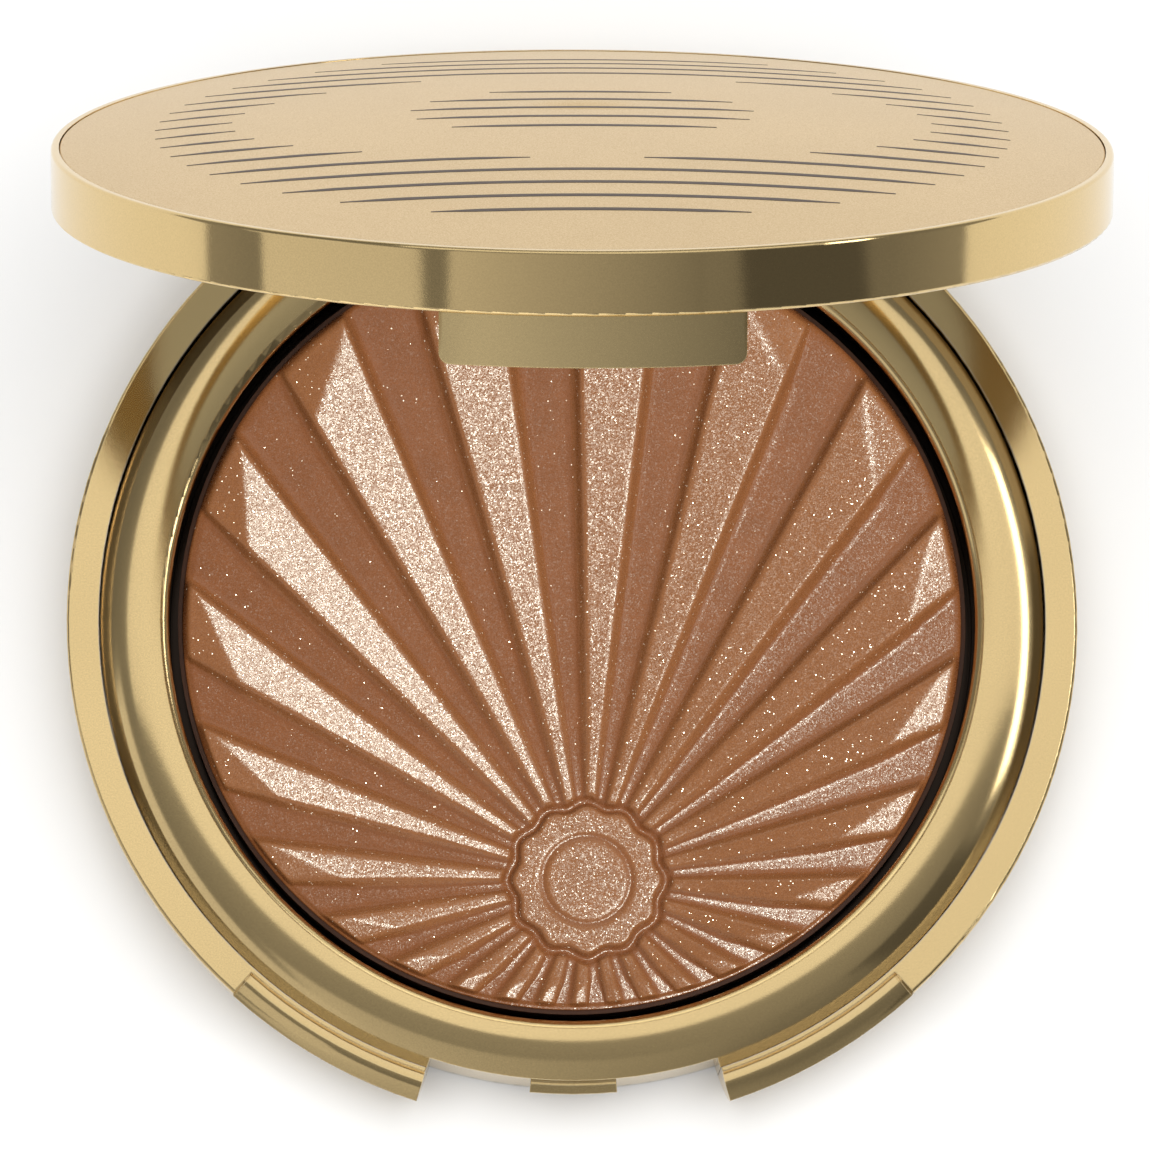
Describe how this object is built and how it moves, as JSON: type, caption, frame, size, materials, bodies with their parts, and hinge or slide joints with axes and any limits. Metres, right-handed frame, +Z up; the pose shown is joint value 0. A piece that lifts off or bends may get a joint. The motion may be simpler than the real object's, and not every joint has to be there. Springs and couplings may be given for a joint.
{
  "type": "powder compact",
  "caption": "Round hinged pressed-powder compact with a domed mirrored lid, front catch tab, finger scoops and a crowned ring around the powder pan.",
  "frame": {"origin": "centre of the flat foot face, on the surface that the compact stands on", "axes": "+Z up out of the base, -Y towards the front catch, +Y towards the hinge, +X to the right; the hinge runs along X"},
  "size_m": [0.08, 0.0833, 0.0847],
  "materials": {
    "gold_base": "vacuum-metallised polished pale gold",
    "gold_tray": "vacuum-metallised polished pale gold",
    "gold_bezel": "vacuum-metallised polished pale gold",
    "gold_lid": "vacuum-metallised polished pale gold",
    "gold_frame": "vacuum-metallised soft-satin pale gold",
    "gold_satin": "anodised satin pale gold with fine dark lines",
    "pan_metal": "drawn, dark lacquered",
    "pressed_powder": "pressed pearl powder, fine sparkle",
    "adhesive_film": "double-sided film",
    "pin_steel": "drawn wire",
    "mirror_glass": "silvered glass"
  },
  "bodies": {
    "base": {"base_shell": "gold_base", "pan_tray": "gold_tray", "bezel_ring": "gold_bezel", "pan_glue": "adhesive_film", "powder_pan": "pan_metal", "powder_cake": "pressed_powder", "hinge_pin": "pin_steel"},
    "lid": {"lid_shell": "gold_lid", "lid_top_plate": "gold_satin", "lid_frame": "gold_frame", "mirror_pad": "adhesive_film", "mirror": "mirror_glass"}
  },
  "joints": [
    {"name": "lid_hinge", "type": "hinge", "parent": "base", "child": "lid", "pos_m": [0, 0.0412, 0.00784], "axis": [-1, 0, 0], "range_deg": [-67.5, 57.5]}
  ]
}
